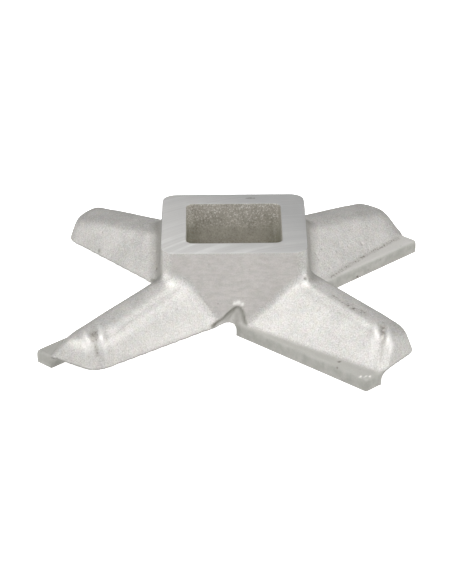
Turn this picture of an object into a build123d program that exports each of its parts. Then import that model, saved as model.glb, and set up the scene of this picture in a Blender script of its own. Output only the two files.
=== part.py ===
from build123d import *
import math
import os

# Four-armed knife of a meat grinder: one casting with a square drive hole.
# Millimetres. The origin lies on the knife's axis in its cutting plane, +Z runs
# up through the hub, and the square hub is set square to X and Y.
# Each arm is drawn along +X, with its cutting land on the -Y side, and is then
# turned into place, so that the arms point at the hub's four corners.

# hub
hub_width = 28.85           # across the flats of the milled top
hub_height = 18.1
hub_draft = 3.0             # degrees
hub_corner_radius = 3.0
hub_base = 1.8              # underside of the hub between the lands
drive_hole_width = 19.0
drive_hole_corner_radius = 1.5

# cutting lands, one along the leading side of each arm
arm_count = 4
first_arm_angle = 45.0      # degrees from +X
arm_reach = 45.0            # from the axis to the end of the cutting land
land_offset = 9.83          # from the arm's centre line to its cutting face
land_width = 4.25
land_height = 2.7           # also the parting plane of the casting
land_start = 10.0           # from the axis to the inner end of the land
land_corner_radius = 0.7
land_root_radius = 2.3      # hollow between the land's back and the arm's underside

# arms above the parting plane; each size is given at the hub's face and at the nose
arm_inner = 8.0             # from the axis to the arm's inner end, inside the hub
arm_outer = 44.8            # from the axis to the foot of the end face
crest_height_inner = 13.37
crest_height_outer = 8.5
crest_radius = 3.2          # where the flat crest rounds into the flanks
leading_crest_inner = 1.69  # from the centre line to the crest's corner, before rounding
leading_crest_outer = 1.97
trailing_crest_inner = 3.64
trailing_crest_outer = 5.15
leading_foot_outer = 6.1
trailing_foot_outer = 6.4
leading_foot_gap = 2.04     # from the middle of a hub face to the leading foot beside it
trailing_foot_gap = 2.04    # from the middle of a hub face to the trailing foot beside it

# nose, the rounded end of an arm
nose_lean = 11.5            # degrees, the end face leans back over the arm
nose_skew = 8.5             # degrees, the end face turns to the trailing side
nose_leading_radius = 1.7
nose_crest_radius = 2.6
nose_trailing_radius = 2.9
nose_corner_radius = 1.8    # least rounding of the crest's corners at the end face
nose_stations = (0, 22, 44, 66, 84)     # degrees round the nose's rounding
nose_run_in = 2.0           # length before the rounding that keeps it tangent to the arm

root_radius = 3.0           # fillet between arm and hub

# gullet in front of each land, cut into the foot of the hub and the next arm
gullet_start = 6.65         # from the axis, where its roof meets the cutting plane
gullet_roof = 1.7           # level length of its roof, before rounding
gullet_height = 6.3
gullet_slope = 57.0         # degrees
gullet_reach = 14.0         # how far it runs out from the arm's centre line
gullet_radius = 1.0

# how far cutting bodies run past what they cut
clear = 20.0
# how far above a plane an edge's middle lies to count as above it
above = 0.05
# how much of the room between two corners their roundings may take
rounding_share = 0.98
# widest root fillet for each millimetre of hub face beside it
root_share = 1.5


def hub_face():
    """Distance from the axis to a hub face at the height of the parting plane."""
    return hub_width / 2 + (hub_height - land_height) * math.tan(math.radians(hub_draft))


def foot_at_hub(gap):
    """Distance from the arm's centre line to its foot, where the foot meets the hub's face."""
    return (hub_face() - gap) / math.sqrt(2)


def between(inner, outer, distance, gap):
    """A size at this distance along the arm, from its sizes at the hub's face and at the nose."""
    root = (hub_face() + gap) / math.sqrt(2)
    return inner + (outer - inner) * (distance - root) / (arm_outer - root)


def drawn_in(radius, depth):
    """How far a rounding draws its face in, at this depth behind the end face."""
    if depth >= radius:
        return 0
    return radius - math.sqrt(radius**2 - (radius - depth) ** 2)


def arm_section(plane, distance, depth):
    """Closed section across an arm: a flat crest, rounded into two sloping flanks.

    The distance is from the axis, and the depth is behind the end face.
    """
    lead = leading_foot_gap
    trail = trailing_foot_gap
    height = between(crest_height_inner, crest_height_outer, distance, (lead + trail) / 2) - land_height
    leading_foot = between(foot_at_hub(lead), leading_foot_outer, distance, lead)
    leading_crest = between(leading_crest_inner, leading_crest_outer, distance, lead)
    trailing_foot = between(foot_at_hub(trail), trailing_foot_outer, distance, trail)
    trailing_crest = between(trailing_crest_inner, trailing_crest_outer, distance, trail)
    leading_slope = (leading_foot - leading_crest) / height
    trailing_slope = (trailing_foot - trailing_crest) / height
    crest_drop = drawn_in(nose_crest_radius, depth)
    top = height - crest_drop
    leading_foot -= drawn_in(nose_leading_radius, depth) * math.hypot(1, leading_slope)
    trailing_foot -= drawn_in(nose_trailing_radius, depth) * math.hypot(1, trailing_slope)
    with BuildSketch(plane) as section:
        with BuildLine():
            Polyline(
                (-leading_foot, 0),
                (trailing_foot, 0),
                (trailing_foot - trailing_slope * top, top),
                (leading_slope * top - leading_foot, top),
                close=True,
            )
        make_face()
        corners = section.vertices().group_by(Axis.Y)[-1]
        fillet(corners, max(crest_radius - crest_drop, nose_corner_radius))
    return section.sketch


def root_section():
    """Upright section of the arm inside the hub."""
    plane = Plane(origin=(arm_inner, 0, land_height), x_dir=(0, 1, 0), z_dir=(1, 0, 0))
    return arm_section(plane, arm_inner, arm_outer)


def nose_section(depth):
    """Section of the nose parallel to its end face, at this depth behind it."""
    lean = math.radians(nose_lean)
    skew = math.radians(nose_skew)
    distance = arm_outer - depth / math.cos(lean) / math.cos(skew)
    plane = Plane(
        origin=(distance, 0, land_height),
        x_dir=(-math.sin(skew), math.cos(skew), 0),
        z_dir=(math.cos(skew) * math.cos(lean), math.sin(skew) * math.cos(lean), math.sin(lean)),
    )
    return arm_section(plane, distance, depth)


def arm_body():
    """Tapering body of one arm above the parting plane, with its rounded nose."""
    rounding = max(nose_leading_radius, nose_crest_radius, nose_trailing_radius)
    start = nose_section(rounding + nose_run_in)
    depths = [rounding * (1 - math.sin(math.radians(angle))) for angle in nose_stations]
    nose = loft([start] + [nose_section(depth) for depth in depths])
    return loft([root_section(), start], ruled=True) + nose


def hub_body():
    """Square hub from the underside to its milled top, drawn in towards the top."""
    with BuildPart() as hub:
        with BuildSketch(Plane.XY.offset(hub_height)):
            RectangleRounded(hub_width, hub_width, hub_corner_radius)
        extrude(amount=hub_base - hub_height, taper=-hub_draft)
    return hub.part


def land():
    """Cutting land below the parting plane, square at its end, with a hollow root behind it."""
    back = land_width - land_offset
    with BuildSketch(Plane.YZ.offset(land_start)) as section:
        with BuildLine():
            Polyline(
                (back + land_root_radius, land_height),
                (-land_offset, land_height),
                (-land_offset, 0),
                (back, 0),
                (back, land_height - land_root_radius),
            )
            RadiusArc(
                (back, land_height - land_root_radius),
                (back + land_root_radius, land_height),
                land_root_radius,
            )
        make_face()
    strip = extrude(section.sketch, amount=arm_reach - land_start)
    corner = strip.edges().filter_by(Axis.Z).group_by(Axis.X)[-1].sort_by(Axis.Y)[0]
    return strip.fillet(land_corner_radius, [corner])


def around(shape):
    """Copies of an arm's feature in each arm's place."""
    step = 360 / arm_count
    return [Rot(0, 0, first_arm_angle + step * index) * shape for index in range(arm_count)]


def gullet():
    """Notch that clears the inner end of a cutting face, rounded at its top."""
    slope = math.radians(gullet_slope)
    roof_start = gullet_start + gullet_height / math.tan(slope)
    roof_end = roof_start + gullet_roof
    widest_radius = rounding_share * gullet_roof / (1 + math.tan(slope / 2))
    depth = gullet_reach - land_offset
    with BuildSketch(Plane.XZ.offset(land_offset)) as profile:
        with BuildLine():
            Polyline(
                (gullet_start, 0),
                (roof_start, gullet_height),
                (roof_end, gullet_height),
                (roof_end, 0),
                close=True,
            )
        make_face()
        fillet(profile.vertices().group_by(Axis.Y)[-1], min(gullet_radius, widest_radius))
    return extrude(profile.sketch, amount=depth)


def drive_hole():
    """Square hole through the hub."""
    hole = Box(drive_hole_width, drive_hole_width, 2 * (hub_height + clear))
    return hole.fillet(drive_hole_corner_radius, hole.edges().filter_by(Axis.Z))


def knife():
    """The whole casting: hub and arms blended together, lands added, gullets and hole cut."""
    hub = hub_body()
    arms = around(arm_body())
    body = hub
    for arm in arms:
        body += arm
    roots = new_edges(hub, *arms, combined=body)
    roots = [edge for edge in roots if edge.center().Z > land_height + above]
    narrow_gap = min(leading_foot_gap, trailing_foot_gap)
    body = body.fillet(min(root_radius, root_share * narrow_gap), roots)
    for strip in around(land()):
        body += strip
    for notch in around(gullet()):
        body -= notch
    return body - drive_hole()


os.makedirs("parts", exist_ok=True)
export_step(knife(), "parts/knife.step")
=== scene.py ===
import math

import bmesh
import bpy
import numpy as np
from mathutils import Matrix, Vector
from mathutils.bvhtree import BVHTree
from mathutils.kdtree import KDTree


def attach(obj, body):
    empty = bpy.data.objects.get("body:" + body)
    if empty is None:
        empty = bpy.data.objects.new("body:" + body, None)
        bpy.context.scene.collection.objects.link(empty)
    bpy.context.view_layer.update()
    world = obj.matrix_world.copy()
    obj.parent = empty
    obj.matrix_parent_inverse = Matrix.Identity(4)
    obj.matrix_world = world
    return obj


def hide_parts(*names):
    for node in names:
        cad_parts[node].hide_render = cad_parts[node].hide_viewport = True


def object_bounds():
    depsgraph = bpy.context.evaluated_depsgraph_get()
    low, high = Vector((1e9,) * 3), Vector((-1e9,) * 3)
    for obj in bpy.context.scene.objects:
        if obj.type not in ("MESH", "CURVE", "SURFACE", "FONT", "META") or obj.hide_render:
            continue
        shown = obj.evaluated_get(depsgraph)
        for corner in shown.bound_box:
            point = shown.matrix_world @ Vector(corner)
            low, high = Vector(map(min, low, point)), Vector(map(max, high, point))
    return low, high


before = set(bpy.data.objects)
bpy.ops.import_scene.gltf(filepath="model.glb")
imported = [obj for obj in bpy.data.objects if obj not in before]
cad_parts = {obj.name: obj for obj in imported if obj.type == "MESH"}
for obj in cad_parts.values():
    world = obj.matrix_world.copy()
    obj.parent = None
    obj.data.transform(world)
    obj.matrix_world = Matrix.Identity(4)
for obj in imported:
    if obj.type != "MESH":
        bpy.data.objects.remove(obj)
cad_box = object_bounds()

MM = 0.001

# skin mesh
skin_cell = 0.346           # size of the skin's quads
sharp_angle = 24            # degrees, an edge of the solid counts as sharp above this
settling_rounds = 3
rounding_rounds = 7
flowing_rounds = 14
nose_rounds = 26
rim_rounds = 9              # smoothing of the arms' lower rims, behind and round the noses
rim_reach = 1.1             # how far above and below the parting plane a rim is smoothed
rounding_reach = 0.9        # how far from a sharp edge the casting is rounded
edge_step = 0.03            # spacing of the points that stand for the sharp edges
edge_share = 0.55           # points this close to a sharp edge, in cells, are put on it
worn_edge = 0.25            # share of that rounding on edges left by a cutter
shelter_step = 9            # every so many points are tested for shelter
shelter_reach = 14.0        # how far metal counts as near

# casting
hub_top = 18.1
hole_half_width = 9.5
land_top = 2.7
wave_depth = 0.06
wave_size = 5.0
ripple_depth = 0.03
ripple_size = 1.3
pit_depth = 0.22
bead_height = 0.12
pits_per_square_mm = 0.03
pit_radius = 0.42

# cleft at the nose of each front arm, an upright plane: distance along the arm is
# start + skew times the distance from the centre line (left arm, right arm)
cleft_start = (39.6, 40.4)
cleft_skew = (0.57, 0.70)
cleft_depth = 0.40
cleft_width = 0.75
lip_height = 0.13
lip_distance = 1.6
lip_width = 0.8

# larger flaws of the casting: place and radius
flaws = (
    (-28.2, 18.2, 3.9, 0.45), (-15.7, 5.1, 5.8, 0.3), (25.6, 11.7, 0.4, 0.35),
    (13.9, -14.7, 12.7, 0.4), (21.9, -22.0, 10.35, 0.30), (22.9, -22.9, 10.15, 0.35),
    (24.3, -23.9, 9.85, 0.25), (19.9, -31.0, 2.7, 0.4),
    (19.3, -33.2, 2.5, 0.3), (28.45, -28.4, 8.8, 0.35), (28.3, -29.6, 8.7, 0.35),
    (2.8, 12.2, 18.1, 0.45), (3.5, 12.3, 18.1, 0.55), (4.2, 12.2, 18.1, 0.45),
    (-12.3, 5.9, 18.1, 0.2),
)
flaw_spread = 1.6           # a flaw fades out at this many of its radii
# rough seams of the casting: both ends, and how wide the band of specks is
seams = (
    ((21.1, -21.1, 10.45), (25.3, -24.6, 9.65), 0.9),
    ((18.9, -18.9, 10.9), (21.1, -21.1, 10.45), 0.5),
    ((28.5, -27.2, 8.9), (28.3, -30.0, 8.6), 0.8),
    ((28.3, -30.0, 8.6), (28.0, -31.9, 7.0), 0.5),
    ((-27.1, -29.6, 8.8), (-26.9, -31.6, 8.3), 1.1),
    ((-26.9, -31.6, 8.3), (-26.3, -33.3, 5.5), 0.5),
    ((-4.4, -16.3, 3.2), (-2.2, -15.0, 3.9), 0.7),
    ((19.8, 6.7, 2.7), (27.2, 16.7, 2.7), 0.6),
    ((27.2, 16.7, 2.7), (34.9, 25.6, 2.7), 0.6),
)
# fine bead at the foot of the left nose, raised and with a painted highlight along it: both ends and width
beads = (((-35.1, -29.1, 2.9), (-27.5, -34.2, 3.0), 0.5),)
# places given a painted highlight: place and radius
glints = (
    (0.0, -15.0, 7.5, 0.5), (0.75, -15.0, 7.7, 0.6), (1.5, -15.0, 7.3, 0.5),
    (23.6, -37.2, 2.7, 0.42), (24.3, -37.6, 2.5, 0.28), (24.8, -37.3, 2.7, 0.26), (25.4, -37.3, 2.6, 0.34),
)

# arch of the gullet on each hub face: distance to the left of the face's middle, and height
arch = (
    (-2.3, 2.9), (-1.9, 4.5), (-1.7, 5.7), (-1.1, 6.6), (-0.3, 6.85),
    (0.6, 6.2), (1.6, 5.3), (2.4, 4.3), (3.4, 3.9), (4.6, 3.5),
)
arch_recess = 0.5           # how deep the gullet's mouth is hollowed behind the arch
arch_depth = (12.0, 17.5)   # from the axis, where the mouth lies


# light from all round, and the soft lamps' width and height in metres
ground_light = 0.95
sky_light = 0.11
softbox_width = 0.45
softbox_height = 0.35

# finish of the blasted casting
grain_strength = 0.36
blast_bump = 0.22
blast_roughness = 0.54
cast_grain = 0.24           # size of the casting's grain
# painted shade where nearby metal hides the sky
painted_shade_grey = (0.30, 0.285, 0.25, 1)
cut_grey = (0.43, 0.43, 0.395, 1)
cut_pale = (0.55, 0.545, 0.515, 1)
ledge_pale = (0.50, 0.495, 0.465, 1)
# painted light on the ledges of the arms behind the hub
ledge_painted_light = (0.66, 0.65, 0.625, 1)


# camera, floor and light


def place_camera():
    camera = bpy.data.objects.new("camera", bpy.data.cameras.new("camera"))
    camera.location = Vector((-3.65, -500.41, 242.99)) * MM
    camera.rotation_euler = [math.radians(angle) for angle in (64.36, 0.334, -0.390)]
    camera.data.lens = 169.24
    camera.data.sensor_width = 36
    camera.data.clip_start = 0.05
    camera.data.clip_end = 20
    bpy.context.scene.collection.objects.link(camera)
    bpy.context.scene.camera = camera


def wire(tree, kind, inputs=None, **settings):
    """Add a node. Each named input gets a value, or another node's output."""
    node = tree.nodes.new(kind)
    for name, value in settings.items():
        setattr(node, name, value)
    for name, value in (inputs or {}).items():
        if isinstance(value, bpy.types.NodeSocket):
            tree.links.new(value, node.inputs[name])
        else:
            node.inputs[name].default_value = value
    return node


def calc(tree, operation, *values):
    """Output of a math node."""
    node = wire(tree, "ShaderNodeMath", dict(enumerate(values)), operation=operation)
    return node.outputs[0]


def new_material(name):
    material = bpy.data.materials.new(name)
    material.use_nodes = True
    material.node_tree.nodes.clear()
    return material


def finish_material(material, shader):
    tree = material.node_tree
    output = tree.nodes.new("ShaderNodeOutputMaterial")
    tree.links.new(shader.outputs[0], output.inputs["Surface"])
    return material


def bumps(tree, height, strength, distance):
    """Shading normal of fine bumps, this many millimetres high."""
    node = wire(tree, "ShaderNodeBump", {"Height": height, "Strength": strength, "Distance": distance * MM})
    return node.outputs[0]


def metal(tree, colour, metallic, roughness, normal):
    return wire(
        tree,
        "ShaderNodeBsdfPrincipled",
        {"Base Color": colour, "Metallic": metallic, "Roughness": roughness, "Normal": normal},
    )


def floor_material():
    material = new_material("pale paper")
    tree = material.node_tree
    where = wire(tree, "ShaderNodeTexCoord").outputs["Object"]
    fibre = wire(tree, "ShaderNodeTexNoise", {"Vector": where, "Scale": 900.0, "Detail": 2.0})
    bump = bumps(tree, fibre.outputs[0], 0.05, 0.1)
    shader = wire(
        tree,
        "ShaderNodeBsdfPrincipled",
        {
            "Base Color": (0.80, 0.80, 0.80, 1),
            "Roughness": 0.9,
            "Normal": bump,
            "Emission Color": (1, 1, 1, 1),
            "Emission Strength": 1.0,
        },
    )
    return finish_material(material, shader)


def lay_floor():
    bm = bmesh.new()
    bmesh.ops.create_grid(bm, x_segments=1, y_segments=1, size=4.0)
    mesh = bpy.data.meshes.new("floor")
    bm.to_mesh(mesh)
    bm.free()
    floor = bpy.data.objects.new("floor", mesh)
    bpy.context.scene.collection.objects.link(floor)
    mesh.materials.append(floor_material())
    # the floor is a clean white cut-out, so it neither lights the knife nor shows in it
    floor.visible_diffuse = False
    floor.visible_glossy = False
    floor.visible_shadow = False


def softbox(name, place, power):
    """Rectangular soft light that faces the knife."""
    light = bpy.data.lights.new(name, "AREA")
    light.shape = "RECTANGLE"
    light.size = softbox_width
    light.size_y = softbox_height
    light.energy = power
    lamp = bpy.data.objects.new(name, light)
    lamp.location = place
    lamp.rotation_euler = (-Vector(place)).to_track_quat("-Z", "Y").to_euler()
    bpy.context.scene.collection.objects.link(lamp)


def light_studio():
    world = bpy.data.worlds.new("studio")
    world.use_nodes = True
    tree = world.node_tree
    tree.nodes.clear()
    where = wire(tree, "ShaderNodeTexCoord").outputs["Generated"]
    height = wire(tree, "ShaderNodeSeparateXYZ", {0: where}).outputs["Z"]
    shade = stretch(tree, height, -0.15, 0.15, ground_light, sky_light)
    sky = wire(tree, "ShaderNodeBackground", {"Color": (1.0, 0.995, 0.985, 1), "Strength": shade})
    output = tree.nodes.new("ShaderNodeOutputWorld")
    tree.links.new(sky.outputs[0], output.inputs["Surface"])
    bpy.context.scene.world = world
    softbox("left", (-0.57, -0.23, 0.33), 1.90)
    softbox("right", (0.57, -0.23, 0.33), 1.98)
    softbox("front", (0.0, -0.52, 0.42), 1.0)
    softbox("above", (0.0, -0.05, 0.70), 2.7)
    softbox("behind", (0.0, 0.50, 0.45), 0.25)
    bpy.context.scene.view_settings.view_transform = "Standard"


# skin of the casting


def merged_solid():
    """The CAD knife as a closed mesh, joined along its triangles' edges."""
    solid = bmesh.new()
    solid.from_mesh(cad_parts["knife"].data)
    bmesh.ops.remove_doubles(solid, verts=solid.verts, dist=0.001 * MM)
    solid.normal_update()
    return solid


def sharp_points(solid):
    """Points closely spaced along the solid's sharp edges, and the corners where they meet."""
    sharp = [edge for edge in solid.edges if edge.calc_face_angle(0) > math.radians(sharp_angle)]
    points = []
    meeting = {}
    for edge in sharp:
        start, end = (vertex.co for vertex in edge.verts)
        steps = max(1, math.ceil(edge.calc_length() / (edge_step * MM)))
        points += [start.lerp(end, step / steps) for step in range(steps)]
        for vertex in edge.verts:
            meeting.setdefault(vertex, []).append((edge.other_vert(vertex).co - vertex.co).normalized())
    corners = [
        vertex.co.copy()
        for vertex, ways in meeting.items()
        if len(ways) != 2 or ways[0].dot(ways[1]) > -0.8
    ]
    return points, corners


def search_tree(points):
    tree = KDTree(len(points))
    for index, point in enumerate(points):
        tree.insert(point, index)
    tree.balance()
    return tree


def even_mesh(solid):
    """Closed mesh of even quads near the solid's surface."""
    mesh = bpy.data.meshes.new("even")
    solid.to_mesh(mesh)
    block = bpy.data.objects.new("even", mesh)
    bpy.context.scene.collection.objects.link(block)
    cells = block.modifiers.new("cells", "REMESH")
    cells.mode = "VOXEL"
    cells.voxel_size = skin_cell * MM
    graph = bpy.context.evaluated_depsgraph_get()
    even = bpy.data.meshes.new_from_object(block.evaluated_get(graph))
    bpy.data.objects.remove(block)
    return even


def neighbour_mean(points, edges):
    """Mean place of each point's neighbours along the mesh's edges."""
    count = np.bincount(edges.ravel(), minlength=len(points))
    mean = np.empty_like(points)
    for axis in range(points.shape[1]):
        mean[:, axis] = np.bincount(edges[:, 0], points[edges[:, 1], axis], len(points))
        mean[:, axis] += np.bincount(edges[:, 1], points[edges[:, 0], axis], len(points))
    return mean / count[:, None]


def settle(points, edges, solid):
    """Bring the even mesh's points onto the solid, and those near a sharp edge onto that edge."""
    surface = BVHTree.FromBMesh(solid)
    along, corners = sharp_points(solid)
    edge_tree = search_tree(along)
    near = np.array([edge_tree.find(Vector(point))[2] for point in points])
    on_edge = near < edge_share * skin_cell * MM
    fixed = {}
    if corners:
        point_tree = search_tree([Vector(point) for point in points])
        for corner in corners:
            fixed[point_tree.find(corner)[1]] = corner
    for _ in range(settling_rounds):
        wanted = neighbour_mean(points, edges)
        for index, point in enumerate(wanted):
            if index in fixed:
                points[index] = fixed[index]
            elif on_edge[index]:
                points[index] = edge_tree.find(Vector(point))[0]
            else:
                points[index] = surface.find_nearest(Vector(point))[0]
    return points, edge_tree


def arm_place(points):
    """Distance along the nearest arm and ahead of its centre line, in millimetres."""
    turn = np.arctan2(points[:, 1], points[:, 0]) - math.pi / 4
    turn -= np.round(turn / (math.pi / 2)) * (math.pi / 2)
    reach = np.hypot(points[:, 0], points[:, 1]) / MM
    return reach * np.cos(turn), -reach * np.sin(turn)


def segment_distance(places, start, end):
    """Distance of each place from the straight line between two others."""
    start, way = np.array(start), np.array(end) - np.array(start)
    along = np.clip((places - start) @ way / (way @ way), 0, 1)
    return np.linalg.norm(places - start - along[:, None] * way, axis=1)


def under_arch(points):
    """How far each point lies below the arch of the gullet on its hub face, and the way inwards."""
    turn = np.round(np.arctan2(points[:, 1], points[:, 0]) / (math.pi / 2)) * (math.pi / 2)
    out = (points[:, 0] * np.cos(turn) + points[:, 1] * np.sin(turn)) / MM
    left, height = turned_left(points), points[:, 2] / MM
    places = np.stack([left, height], axis=1)
    away = np.min([segment_distance(places, start, end) for start, end in zip(arch, arch[1:])], axis=0)
    lateral, heights = zip(*arch)
    inside = (height < np.interp(left, lateral, heights)) & (left > lateral[0]) & (left < lateral[-1])
    near = (out > arch_depth[0]) & (out < arch_depth[1])
    inwards = np.stack([-np.cos(turn), -np.sin(turn), np.zeros(len(points))], axis=1)
    return np.where(near, np.where(inside, away, -away), -9.0), inwards


def arch_fade(points):
    """One in the gullet's mouth, running out towards the land and towards the arm's foot."""
    left = turned_left(points)
    above_land = np.clip((points[:, 2] / MM - land_top + 0.3) / 0.8, 0, 1)
    return np.where(left < 0, above_land, np.clip((arch[-1][0] - left) / 1.6, 0, 1))


def hollow_mouths(points):
    """Hollow the mouth of each gullet behind its arch."""
    below, inwards = under_arch(points)
    depth = np.clip(below / 0.45, 0, 1) * arch_fade(points) * arch_recess * MM
    return points + depth[:, None] * inwards


def round_edges(points, edges, edge_tree):
    """Round the casting's edges, and break those left by a cutter a little."""
    near = np.array([edge_tree.find(Vector(point))[2] for point in points]) / MM
    share = np.clip(1 - near / rounding_reach, 0, 1)
    height = points[:, 2] / MM
    cut = (height > hub_top - 0.05) | (height < 0.05)
    share = np.where(cut, worn_edge * share, share)[:, None]
    for _ in range(rounding_rounds):
        points += 0.5 * share * (neighbour_mean(points, edges) - points)
    along, across = arm_place(points)
    # the lower rims turn under, away from the lands
    behind = np.clip((-across - 2.0) / 1.0, 0, 1) * np.clip((along - 15.0) / 3.0, 0, 1)
    round_nose = np.clip((along - 42.0) / 1.0, 0, 1) * np.clip((5.0 - across) / 1.5, 0, 1)
    share = np.clip(1 - np.abs(height - land_top) / rim_reach, 0, 1) * np.maximum(behind, round_nose)
    for _ in range(rim_rounds):
        points += 0.5 * share[:, None] * (neighbour_mean(points, edges) - points)
    # the arms' crests flow into their flanks, and more so at the noses
    for rounds, lowest, inner in ((flowing_rounds, 1.0, 20.0), (nose_rounds, 0.4, 36.0)):
        share = np.clip((height - land_top - lowest) / 1.0, 0, 1) * np.clip((along - inner) / 2.0, 0, 1)
        for _ in range(rounds):
            points += 0.5 * share[:, None] * (neighbour_mean(points, edges) - points)
    return points


def store(mesh, name, values):
    attribute = mesh.attributes.new(name, "FLOAT", "POINT")
    attribute.data.foreach_set("value", values.astype(np.float32))


def turned_left(points):
    """Distance to the left of the middle of the nearest hub face."""
    turn = np.round(np.arctan2(points[:, 1], points[:, 0]) / (math.pi / 2)) * (math.pi / 2)
    return (points[:, 0] * np.sin(turn) - points[:, 1] * np.cos(turn)) / MM


def shelter(points, normals, surface):
    """Share of the sky that nearby metal hides, at some of the points and spread over the rest."""
    tested = np.arange(0, len(points), shelter_step)
    ways = []
    for ring, count in ((25, 4), (50, 7), (72, 9)):
        tilt = math.radians(ring)
        for index in range(count):
            turn = 2 * math.pi * (index + 0.5 * (ring == 50)) / count
            out = math.sin(tilt)
            ways.append(Vector((out * math.cos(turn), out * math.sin(turn), math.cos(tilt))))
    hidden = np.empty(len(tested))
    for row, index in enumerate(tested):
        normal = Vector(normals[index])
        turned = normal.to_track_quat("Z", "Y")
        start = Vector(points[index]) + normal * (0.15 * MM)
        hits = sum(surface.ray_cast(start, turned @ way, shelter_reach * MM)[0] is not None for way in ways)
        hidden[row] = hits / len(ways)
    tree = search_tree([Vector(points[index]) for index in tested])
    spread = np.empty(len(points))
    for index, point in enumerate(points):
        found = tree.find_n(Vector(point), 3)
        spread[index] = sum(hidden[hit[1]] for hit in found) / len(found)
    return spread


def line_band(points, start, end, width):
    """One on the line between two places, fading to nothing at this distance from it."""
    return np.clip(1 - segment_distance(points / MM, start, end) / width, 0, 1)


def spot(points, place, reach):
    """One at a place, fading to nothing at this distance from it."""
    return np.clip(1 - np.linalg.norm(points / MM - place, axis=1) / reach, 0, 1)


def mark_clefts(mesh, points):
    """Distance from each front arm's cleft, which shows on the side towards the front."""
    along, ahead = arm_place(points)
    right = points[:, 0] > 0
    start = np.where(right, cleft_start[1], cleft_start[0])
    skew = np.where(right, cleft_skew[1], cleft_skew[0])
    side = np.where(right, ahead, -ahead)
    store(mesh, "from_cleft", (along - start - skew * side) / np.sqrt(1 + skew**2))
    above_land = np.clip((points[:, 2] / MM - land_top - 0.5) / 2.5, 0, 1)
    store(mesh, "cleft_share", above_land * np.clip((side + 1.0) / 2.0, 0, 1) * (points[:, 1] < 0))


def mark_flaws(mesh, points):
    flaw = [spot(points, (x, y, z), flaw_spread * radius) for x, y, z, radius in flaws]
    store(mesh, "flaw", np.max(flaw, axis=0))
    glint = [spot(points, (x, y, z), radius) for x, y, z, radius in glints]
    store(mesh, "glint", np.max(glint, axis=0))
    store(mesh, "seam", np.max([line_band(points, *seam) for seam in seams], axis=0))
    store(mesh, "bead", np.max([line_band(points, *bead) for bead in beads], axis=0))


def mark_lands(mesh, points, edges):
    """The cut faces of the lands, blurred a little at their borders."""
    _, ahead = arm_place(points)
    ledge = 1.0 * (points[:, 2] / MM < land_top + 0.12) * (ahead > 0)
    for _ in range(2):
        ledge = neighbour_mean(ledge[:, None], edges)[:, 0]
    store(mesh, "cut_face", ledge)


def mark_hub(mesh, points, normals):
    """The hub's left and right sides, and its faces above the gullets' arches."""
    across, deep = np.abs(points[:, :2]).T / MM
    on_side = np.clip((across - 13.9) / 0.5, 0, 1) * np.clip((17.5 - across) / 2.0, 0, 1)
    store(mesh, "hub_side", on_side * np.clip((15.5 - deep) / 1.5, 0, 1))
    upright = np.clip((0.25 - np.abs(normals[:, 2])) / 0.1, 0, 1)
    square = np.clip((np.abs(normals[:, :2]).max(axis=1) - 0.94) / 0.04, 0, 1)
    below, _ = under_arch(points)
    on_hub = np.clip((15.8 - across) / 0.5, 0, 1) * (np.maximum(across, deep) > 12) * (below < 0)
    store(mesh, "hub_face", upright * square * on_hub)


def mark_mouths(mesh, points):
    """The gullets' mouths and the edge of the arch over them."""
    below, _ = under_arch(points)
    store(mesh, "mouth", np.clip(below / 0.3, 0, 1) * arch_fade(points))
    # where the painted shadow under the arch goes, wider inside the mouth
    shade = 1 - np.abs(below) / np.where(below > 0, 1.0, 0.3)
    above_land = np.clip((points[:, 2] / MM - land_top) / 0.5, 0, 1)
    store(mesh, "arch_shadow", np.clip(shade, 0, 1) * above_land)


def mark_rims(mesh, points, normals):
    """The arms' lower rims alone, clear of the hub's faces and of the lands."""
    _, ahead = arm_place(points)
    above = points[:, 2] / MM - land_top
    outside_hub = np.abs(points[:, :2]).max(axis=1) / MM > 17
    rim = (np.abs(above) < 0.9) * (above > -0.4) * outside_hub * (ahead < 5.5)
    # where the rims turn under, read by the painted shade
    store(mesh, "turned_under", np.clip((0.15 - normals[:, 2]) / 0.4, 0, 1) * rim)


def mark_skin(mesh, points, edges):
    """Store what the relief and the finishes read at each point of the skin."""
    height = points[:, 2] / MM
    cast = np.clip((hub_top - 0.1 - height) / 0.5, 0, 1) * np.clip((height - 0.05) / 0.5, 0, 1)
    store(mesh, "cast", cast)
    normals = np.empty(len(points) * 3)
    mesh.vertex_normals.foreach_get("vector", normals)
    normals = normals.reshape(-1, 3)
    mark_clefts(mesh, points)
    mark_flaws(mesh, points)
    mark_lands(mesh, points, edges)
    mark_hub(mesh, points, normals)
    mark_mouths(mesh, points)
    mark_rims(mesh, points, normals)
    skin = bmesh.new()
    skin.from_mesh(mesh)
    # share of the sky hidden by nearby metal, read by the painted shade
    store(mesh, "shelter", shelter(points, normals, BVHTree.FromBMesh(skin)))
    skin.free()


def casting_mesh():
    solid = merged_solid()
    mesh = even_mesh(solid)
    points = np.empty(len(mesh.vertices) * 3)
    mesh.vertices.foreach_get("co", points)
    points = points.reshape(-1, 3)
    edges = np.empty(len(mesh.edges) * 2, dtype=np.int32)
    mesh.edges.foreach_get("vertices", edges)
    edges = edges.reshape(-1, 2)
    points, edge_tree = settle(points, edges, solid)
    solid.free()
    points = round_edges(points, edges, edge_tree)
    points = hollow_mouths(points)
    mesh.vertices.foreach_set("co", points.ravel())
    mesh.update()
    mark_skin(mesh, points, edges)
    return mesh


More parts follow.
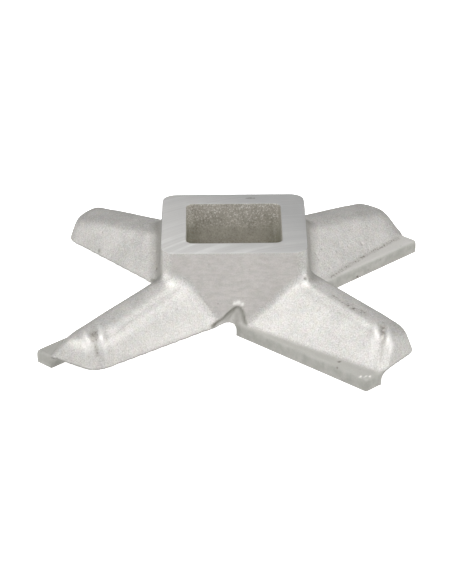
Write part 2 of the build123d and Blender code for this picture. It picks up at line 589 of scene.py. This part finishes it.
def new_relief_tree():
    """Geometry nodes with a named input for each size of the relief, and a fixed seed."""
    tree = bpy.data.node_groups.new("casting relief", "GeometryNodeTree")
    tree.interface.new_socket("Geometry", in_out="INPUT", socket_type="NodeSocketGeometry")
    tree.interface.new_socket("Geometry", in_out="OUTPUT", socket_type="NodeSocketGeometry")
    sizes = {
        "Wave Depth": wave_depth * MM,
        "Wave Size": wave_size * MM,
        "Ripple Depth": ripple_depth * MM,
        "Ripple Size": ripple_size * MM,
        "Cleft Depth": cleft_depth * MM,
        "Cleft Width": cleft_width,
        "Lip Height": lip_height * MM,
        "Lip Distance": lip_distance,
        "Lip Width": lip_width,
        "Bead Height": bead_height * MM,
        "Pit Depth": pit_depth * MM,
        "Pit Radius": pit_radius * MM,
        "Pits": pits_per_square_mm / MM**2,
    }
    for name, value in sizes.items():
        socket = tree.interface.new_socket(name, in_out="INPUT", socket_type="NodeSocketFloat")
        socket.default_value = value
    seed = tree.interface.new_socket("Seed", in_out="INPUT", socket_type="NodeSocketInt")
    seed.default_value = 7
    return tree


def stored(tree, name):
    reader = wire(tree, "GeometryNodeInputNamedAttribute", {"Name": name}, data_type="FLOAT")
    return reader.outputs["Attribute"]


def swell(tree, given, kind):
    """Smooth noise from minus one to one, times the depth given for this kind."""
    place = wire(tree, "GeometryNodeInputPosition").outputs[0]
    scale = calc(tree, "DIVIDE", 1.0, given[kind + " Size"])
    texture = wire(
        tree,
        "ShaderNodeTexNoise",
        {"Vector": place, "W": given["Seed"], "Scale": scale, "Detail": 2.0},
        noise_dimensions="4D",
    )
    level = calc(tree, "MULTIPLY_ADD", texture.outputs[0], 2.0, -1.0)
    return calc(tree, "MULTIPLY", level, given[kind + " Depth"])


def bell(tree, distance, width):
    ratio = calc(tree, "DIVIDE", distance, width)
    return calc(tree, "EXPONENT", calc(tree, "MULTIPLY", calc(tree, "MULTIPLY", ratio, ratio), -1.0))


def cleft_lift(tree, given):
    """Groove of the cleft between its two raised lips."""
    away = stored(tree, "from_cleft")
    groove = calc(tree, "MULTIPLY", bell(tree, away, given["Cleft Width"]), given["Cleft Depth"])
    inner = bell(tree, calc(tree, "SUBTRACT", away, given["Lip Distance"]), given["Lip Width"])
    outer = bell(tree, calc(tree, "ADD", away, given["Lip Distance"]), given["Lip Width"])
    lips = calc(tree, "MULTIPLY", calc(tree, "ADD", inner, outer), given["Lip Height"])
    return calc(tree, "MULTIPLY", calc(tree, "SUBTRACT", lips, groove), stored(tree, "cleft_share"))


def pit_mask(tree, given):
    """Small pits scattered over the skin, and the larger flaws."""
    scatter = wire(
        tree,
        "GeometryNodeDistributePointsOnFaces",
        {"Mesh": given["Geometry"], "Density": given["Pits"], "Seed": given["Seed"]},
        distribute_method="RANDOM",
    )
    nearest = wire(tree, "GeometryNodeProximity", {0: scatter.outputs["Points"]}, target_element="POINTS")
    limits = {"From Min": 0.0, "From Max": given["Pit Radius"], "To Min": 0.55, "To Max": 0.0}
    pit = wire(
        tree,
        "ShaderNodeMapRange",
        {"Value": nearest.outputs["Distance"], **limits},
        interpolation_type="SMOOTHSTEP",
    )
    return calc(tree, "MAXIMUM", pit.outputs[0], stored(tree, "flaw"))


def finish_where(tree, geometry, selection, material):
    inputs = {"Geometry": geometry, "Selection": selection, "Material": material}
    return wire(tree, "GeometryNodeSetMaterial", inputs).outputs[0]


def relief_tree(materials):
    """Waves, clefts and pits of the casting, and the finish of each of its surfaces."""
    skin, bore, milled, ground = materials
    tree = new_relief_tree()
    given = tree.nodes.new("NodeGroupInput").outputs
    pit = pit_mask(tree, given)
    bead = calc(tree, "MULTIPLY", stored(tree, "bead"), given["Bead Height"])
    waves = calc(tree, "ADD", swell(tree, given, "Wave"), swell(tree, given, "Ripple"))
    lift = calc(tree, "ADD", waves, calc(tree, "ADD", cleft_lift(tree, given), bead))
    lift = calc(tree, "SUBTRACT", lift, calc(tree, "MULTIPLY", pit, given["Pit Depth"]))
    lift = calc(tree, "MULTIPLY", lift, stored(tree, "cast"))
    outward = wire(tree, "GeometryNodeInputNormal").outputs["Normal"]
    offset = wire(tree, "ShaderNodeVectorMath", {0: outward, "Scale": lift}, operation="SCALE")
    marked = wire(
        tree,
        "GeometryNodeStoreNamedAttribute",
        {"Geometry": given["Geometry"], "Name": "pit", "Value": pit},
        data_type="FLOAT",
        domain="POINT",
    )
    moved = wire(
        tree,
        "GeometryNodeSetPosition",
        {"Geometry": marked.outputs[0], "Offset": offset.outputs["Vector"]},
    )
    shaped = wire(tree, "GeometryNodeRealizeInstances", {"Geometry": moved.outputs[0]}).outputs[0]
    place = wire(tree, "GeometryNodeInputPosition").outputs[0]
    axes = wire(tree, "ShaderNodeSeparateXYZ", {0: place}).outputs
    across = calc(tree, "MAXIMUM", calc(tree, "ABSOLUTE", axes["X"]), calc(tree, "ABSOLUTE", axes["Y"]))
    in_bore = calc(tree, "LESS_THAN", across, (hole_half_width + 0.15) * MM)
    on_top = calc(tree, "GREATER_THAN", axes["Z"], (hub_top - 0.06) * MM)
    on_plate = calc(tree, "LESS_THAN", axes["Z"], 0.06 * MM)
    for selection, material in ((True, skin), (in_bore, bore), (on_top, milled), (on_plate, ground)):
        shaped = finish_where(tree, shaped, selection, material)
    result = tree.nodes.new("NodeGroupOutput")
    tree.links.new(shaped, result.inputs[0])
    return tree


# finishes


def millimetres(tree):
    """Place on the knife, in millimetres."""
    where = wire(tree, "ShaderNodeTexCoord").outputs["Object"]
    return wire(tree, "ShaderNodeMapping", {"Vector": where, "Scale": (1 / MM,) * 3}).outputs[0]


def speckle(tree, place, size, detail=3.0, roughness=0.6):
    texture = wire(
        tree,
        "ShaderNodeTexNoise",
        {"Vector": place, "Scale": 1 / size, "Detail": detail, "Roughness": roughness},
    )
    return texture.outputs[0]


def blend(tree, share, first, second, mode="MIX"):
    node = wire(tree, "ShaderNodeMix", {0: share, 6: first, 7: second}, data_type="RGBA", blend_type=mode)
    return node.outputs[2]


def stretch(tree, value, low, high, to_low=0.0, to_high=1.0):
    node = wire(
        tree,
        "ShaderNodeMapRange",
        {"Value": value, "From Min": low, "From Max": high, "To Min": to_low, "To Max": to_high},
    )
    return node.outputs[0]


def attribute(tree, name):
    return wire(tree, "ShaderNodeAttribute", attribute_name=name).outputs["Fac"]


def specks(tree, place, size, low, high, strength):
    """Mask of separate small specks: fine noise above a threshold."""
    return stretch(tree, speckle(tree, place, size, 2.0, 0.55), low, high, 0.0, strength)


def coarseness(tree):
    """How strongly the grain shows: a little less on the hub's faces."""
    return calc(tree, "MULTIPLY_ADD", attribute(tree, "hub_face"), -0.15, 1.0)


def cast_metal(tree, place, grain):
    """Mottled pale metal with bright and dull grains."""
    cloud = stretch(tree, speckle(tree, place, 5.0), 0.35, 0.65)
    colour = blend(tree, cloud, (0.57, 0.56, 0.54, 1), (0.66, 0.645, 0.62, 1))
    tint = wire(tree, "ShaderNodeTexNoise", {"Vector": place, "Scale": 0.9, "Detail": 3.0})
    colour = blend(tree, 0.16, colour, tint.outputs["Color"], "SOFT_LIGHT")
    coarse = coarseness(tree)
    bright = calc(tree, "MULTIPLY", stretch(tree, grain, 0.52, 0.66, 0.0, grain_strength), coarse)
    colour = blend(tree, bright, colour, (0.93, 0.92, 0.90, 1))
    dull = calc(tree, "MULTIPLY", stretch(tree, grain, 0.48, 0.34, 0.0, grain_strength), coarse)
    return blend(tree, dull, colour, (0.30, 0.28, 0.25, 1))


def on_hub(tree, place, colour):
    """Flowed, smoother tone of the hub's faces."""
    flowed = wire(tree, "ShaderNodeMapping", {"Vector": place, "Scale": (0.5, 0.5, 1.3)}).outputs[0]
    patches = stretch(tree, speckle(tree, flowed, 0.9, 3.0), 0.38, 0.62)
    hub_tone = blend(tree, patches, (0.55, 0.53, 0.505, 1), (0.66, 0.625, 0.61, 1))
    return blend(tree, calc(tree, "MULTIPLY", attribute(tree, "hub_face"), 0.65), colour, hub_tone)


def painted_shade(tree, colour):
    """Painted shade where nearby metal hides the sky, and painted shade on the hub's left and right sides.
    """
    shade_share = stretch(tree, attribute(tree, "shelter"), 0.30, 0.90, 0.0, 1.0)
    # painted shade, darker where nearby metal hides more of the sky
    colour = blend(tree, shade_share, colour, painted_shade_grey)
    # painted shade on the hub's left and right sides
    side = calc(tree, "MULTIPLY", attribute(tree, "hub_side"), 0.55)
    return blend(tree, side, colour, (0.30, 0.29, 0.26, 1))


def on_lands(tree, place, colour):
    """Stained cut faces of the lands, paler on their tops, with painted light making the ledges of the arms
    behind the hub paler still.
    """
    axes = wire(tree, "ShaderNodeSeparateXYZ", {0: place}).outputs
    stain = stretch(tree, speckle(tree, place, 2.0), 0.35, 0.65)
    raised = stretch(tree, axes["Z"], 2.3, 2.65)
    # painted light: the ledges behind the hub are painted paler, as lit from above and behind
    behind = stretch(tree, axes["Y"], -5.0, 5.0)
    ledge_tone = blend(tree, behind, ledge_pale, ledge_painted_light)
    cut_tone = blend(tree, raised, blend(tree, stain, cut_grey, cut_pale), ledge_tone)
    return blend(tree, calc(tree, "MULTIPLY", attribute(tree, "cut_face"), 0.85), colour, cut_tone)


def in_mouths(tree, place, colour):
    """The gullets' mouths, with a line of painted shadow under the arch."""
    stain = stretch(tree, speckle(tree, place, 2.0), 0.35, 0.65)
    mouth = blend(tree, stain, (0.56, 0.55, 0.52, 1), (0.66, 0.65, 0.62, 1))
    colour = blend(tree, calc(tree, "MULTIPLY", attribute(tree, "mouth"), 0.9), colour, mouth)
    # painted shadow along the arch's edge and just inside the mouth
    edge = calc(tree, "MULTIPLY", attribute(tree, "arch_shadow"), 0.85)
    return blend(tree, edge, colour, (0.20, 0.195, 0.165, 1))


def in_clefts(tree, place, colour):
    """Painted shade in the groove of each cleft, and painted highlights on its two raised lips."""
    height = wire(tree, "ShaderNodeSeparateXYZ", {0: place}).outputs["Z"]
    away = calc(tree, "ABSOLUTE", attribute(tree, "from_cleft"))
    upper = stretch(tree, height, 3.5, 8.5, 0.45, 1.0)
    share = calc(tree, "MULTIPLY", attribute(tree, "cleft_share"), upper)
    # painted shade in the groove
    groove_shade = stretch(tree, away, 0.7, 0.0, 0.0, 0.5)
    colour = blend(tree, calc(tree, "MULTIPLY", groove_shade, share), colour, (0.33, 0.31, 0.275, 1))
    beside = calc(tree, "ABSOLUTE", calc(tree, "SUBTRACT", away, lip_distance))
    # painted highlights on the lips
    lip_highlight = stretch(tree, beside, 0.9, 0.0, 0.0, 0.35)
    return blend(tree, calc(tree, "MULTIPLY", lip_highlight, share), colour, (0.92, 0.91, 0.89, 1))


def on_flaws(tree, place, colour):
    """Painted highlights at the glints and along the bead, dark specks along the seams, and dark pits."""
    glint = stretch(tree, attribute(tree, "glint"), 0.0, 0.6)
    glint = calc(tree, "MAXIMUM", glint, calc(tree, "MULTIPLY", attribute(tree, "bead"), 0.8))
    # painted highlights at the glints and on the bead
    colour = blend(tree, glint, colour, (0.95, 0.94, 0.91, 1))
    seam = calc(tree, "ADD", specks(tree, place, 0.45, 0.54, 0.62, 0.65), 0.15)
    seam = calc(tree, "MULTIPLY", stretch(tree, attribute(tree, "seam"), 0.0, 0.7), seam)
    colour = blend(tree, seam, colour, (0.25, 0.225, 0.19, 1))
    pit = stretch(tree, attribute(tree, "pit"), 0.2, 0.8, 0.0, 0.8)
    return blend(tree, pit, colour, (0.13, 0.105, 0.08, 1))


def shade_turned_away(tree, colour):
    """Painted shade where the lower rims turn under, and painted shade where the surface is seen aslant."""
    # painted shade under the rims
    under = calc(tree, "MULTIPLY", attribute(tree, "turned_under"), 0.75)
    colour = blend(tree, under, colour, (0.24, 0.235, 0.215, 1))
    # painted shade at grazing angles
    glancing = wire(tree, "ShaderNodeLayerWeight", {"Blend": 0.5}).outputs["Facing"]
    return blend(tree, stretch(tree, glancing, 0.68, 1.0, 0.0, 0.6), colour, (0.30, 0.295, 0.28, 1))


def blasted_steel():
    """Shot-blasted casting with a fine grain and dark pits; painted shade where sheltered, under the arches
    and rims and in the clefts; painted highlights on glints, bead and lips; painted light on the back
    ledges.
    """
    material = new_material("blasted steel")
    tree = material.node_tree
    place = millimetres(tree)
    grain = speckle(tree, place, cast_grain, 2.0, 0.6)
    colour = cast_metal(tree, place, grain)
    colour = painted_shade(tree, on_hub(tree, place, colour))
    colour = on_lands(tree, place, colour)
    colour = in_mouths(tree, place, colour)
    colour = in_clefts(tree, place, colour)
    colour = shade_turned_away(tree, on_flaws(tree, place, colour))
    cells = wire(tree, "ShaderNodeTexVoronoi", {"Vector": place, "Scale": 3.4}, feature="SMOOTH_F1")
    grit = calc(tree, "ADD", cells.outputs["Distance"], calc(tree, "MULTIPLY", grain, 1.2))
    cut = attribute(tree, "cut_face")
    strength = calc(tree, "MULTIPLY_ADD", cut, -0.7 * blast_bump, blast_bump)
    normal = bumps(tree, grit, calc(tree, "MULTIPLY", strength, coarseness(tree)), 0.10)
    dulled = calc(tree, "MULTIPLY_ADD", cut, 0.25, blast_roughness)
    return finish_material(material, metal(tree, colour, 0.7, dulled, normal))


def raw_bore():
    """Walls of the drive hole, left as cast and olive brown; painted shade darkens them towards the bottom
    and in the lower corners, with a painted highlight on the ribs near one corner and painted sparkle on
    the upper grains.
    """
    material = new_material("raw bore")
    tree = material.node_tree
    place = millimetres(tree)
    axes = wire(tree, "ShaderNodeSeparateXYZ", {0: place}).outputs
    cloud = stretch(tree, speckle(tree, place, 2.5), 0.35, 0.65)
    # painted shade: the walls are painted darker deeper down the hole
    raised = stretch(tree, axes["Z"], 8.5, 17.0)
    low = blend(tree, cloud, (0.28, 0.265, 0.215, 1), (0.36, 0.335, 0.275, 1))
    high = blend(tree, cloud, (0.47, 0.44, 0.39, 1), (0.58, 0.55, 0.495, 1))
    colour = blend(tree, raised, low, high)
    ribbed = wire(tree, "ShaderNodeMapping", {"Vector": place, "Scale": (1.0, 1.0, 0.12)}).outputs[0]
    ribs = stretch(tree, speckle(tree, ribbed, 0.7, 2.0), 0.52, 0.66)
    # painted highlight: pale ribs near the right-hand corner
    corner = stretch(tree, axes["X"], 5.5, 8.0, 0.0, 0.3)
    colour = blend(tree, calc(tree, "MULTIPLY", ribs, corner), colour, (0.78, 0.75, 0.69, 1))
    # painted shade in the lower corners
    aside = stretch(tree, calc(tree, "ABSOLUTE", axes["X"]), 6.0, 9.2, 0.0, 0.75)
    low_corner_shade = calc(tree, "MULTIPLY", aside, calc(tree, "SUBTRACT", 1.0, raised))
    colour = blend(tree, low_corner_shade, colour, (0.20, 0.20, 0.145, 1))
    grain = speckle(tree, place, 0.26, 2.0, 0.6)
    # painted sparkle: bright grains only on the upper part of the wall
    upper = stretch(tree, axes["Z"], 12.0, 16.0, 0.1, 0.75)
    painted_sparkle = calc(tree, "MULTIPLY", stretch(tree, grain, 0.55, 0.66), upper)
    colour = blend(tree, painted_sparkle, colour, (0.95, 0.94, 0.90, 1))
    colour = blend(tree, stretch(tree, grain, 0.47, 0.33, 0.0, 0.45), colour, (0.20, 0.185, 0.14, 1))
    return finish_material(material, metal(tree, colour, 0.5, 0.55, bumps(tree, grain, 0.45, 0.12)))


def arcs(tree, radius, scale, detail):
    """Tone that changes only with the distance from the mill's centre."""
    inputs = {"W": radius, "Scale": scale, "Detail": detail}
    return wire(tree, "ShaderNodeTexNoise", inputs, noise_dimensions="1D").outputs[0]


def milled_steel():
    """Hub top, with the arcs that a face mill leaves, painted lighter towards the front left and with
    painted sheen on the arcs in front.
    """
    material = new_material("milled steel")
    tree = material.node_tree
    place = millimetres(tree)
    mill_centre = (18.3, -41.3, hub_top)
    centred = wire(tree, "ShaderNodeVectorMath", {0: place, 1: mill_centre}, operation="SUBTRACT")
    radius = wire(tree, "ShaderNodeVectorMath", {0: centred.outputs[0]}, operation="LENGTH")
    fine = arcs(tree, radius.outputs["Value"], 1.6, 5.0)
    broad = arcs(tree, radius.outputs["Value"], 0.42, 2.0)
    axes = wire(tree, "ShaderNodeSeparateXYZ", {0: place}).outputs
    # painted light: the mill's marks are painted lighter towards the front left corner, where they catch
    # more light
    near = calc(tree, "MULTIPLY_ADD", axes["X"], -0.030, calc(tree, "MULTIPLY", axes["Y"], -0.026))
    near = stretch(tree, near, -0.45, 0.60)
    cloud = stretch(tree, speckle(tree, place, 5.0), 0.3, 0.65)
    # painted sheen along the broad arcs, stronger towards the front
    sheen_streaks = calc(tree, "MULTIPLY", stretch(tree, broad, 0.48, 0.60), cloud)
    in_front = stretch(tree, axes["Y"], 2.0, -9.0, 0.2, 0.75)
    sheen_streaks = calc(tree, "MULTIPLY", sheen_streaks, in_front)
    colour = blend(tree, near, (0.55, 0.55, 0.545, 1), (0.80, 0.79, 0.77, 1))
    colour = blend(tree, calc(tree, "MULTIPLY", sheen_streaks, near), colour, (0.97, 0.97, 0.95, 1))
    colour = blend(tree, stretch(tree, fine, 0.5, 0.7, 0.0, 0.08), colour, (0.9, 0.9, 0.9, 1))
    colour = blend(tree, stretch(tree, fine, 0.5, 0.3, 0.0, 0.10), colour, (0.42, 0.42, 0.42, 1))
    pit = stretch(tree, attribute(tree, "pit"), 0.45, 0.8, 0.0, 0.8)
    colour = blend(tree, pit, colour, (0.16, 0.15, 0.13, 1))
    return finish_material(material, metal(tree, colour, 0.6, 0.42, bumps(tree, fine, 0.08, 0.05)))


def ground_steel():
    """Undersides of the cutting lands, with fine scratches from a flat grinder."""
    material = new_material("ground steel")
    tree = material.node_tree
    place = wire(tree, "ShaderNodeTexCoord").outputs["Object"]
    streaked = wire(tree, "ShaderNodeMapping", {"Vector": place, "Scale": (300.0, 6000.0, 300.0)})
    scratches = wire(
        tree,
        "ShaderNodeTexNoise",
        {"Vector": streaked.outputs[0], "Scale": 1.0, "Detail": 3.0},
    ).outputs[0]
    tone = stretch(tree, scratches, 0.3, 0.7)
    colour = blend(tree, tone, (0.58, 0.58, 0.57, 1), (0.74, 0.74, 0.73, 1))
    return finish_material(material, metal(tree, colour, 0.9, 0.3, bumps(tree, scratches, 0.25, 0.03)))


def keep_in_box(mesh):
    """Hold the skin inside the solid's own box."""
    low, high = np.array(cad_box)
    points = np.empty(len(mesh.vertices) * 3)
    mesh.vertices.foreach_get("co", points)
    mesh.vertices.foreach_set("co", np.clip(points.reshape(-1, 3), low, high).ravel())
    mesh.update()


def make_knife():
    knife = bpy.data.objects.new("knife_skin", casting_mesh())
    bpy.context.scene.collection.objects.link(knife)
    relief = knife.modifiers.new("relief", "NODES")
    relief.node_group = relief_tree((blasted_steel(), raw_bore(), milled_steel(), ground_steel()))
    graph = bpy.context.evaluated_depsgraph_get()
    mesh = bpy.data.meshes.new_from_object(knife.evaluated_get(graph))
    knife.modifiers.clear()
    keep_in_box(mesh)
    knife.data = mesh
    mesh.name = "knife_skin"
    mesh.shade_smooth()
    mesh.set_sharp_from_angle(angle=math.radians(40))
    return knife


place_camera()
lay_floor()
light_studio()
knife = make_knife()
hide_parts("knife")
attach(knife, "root")
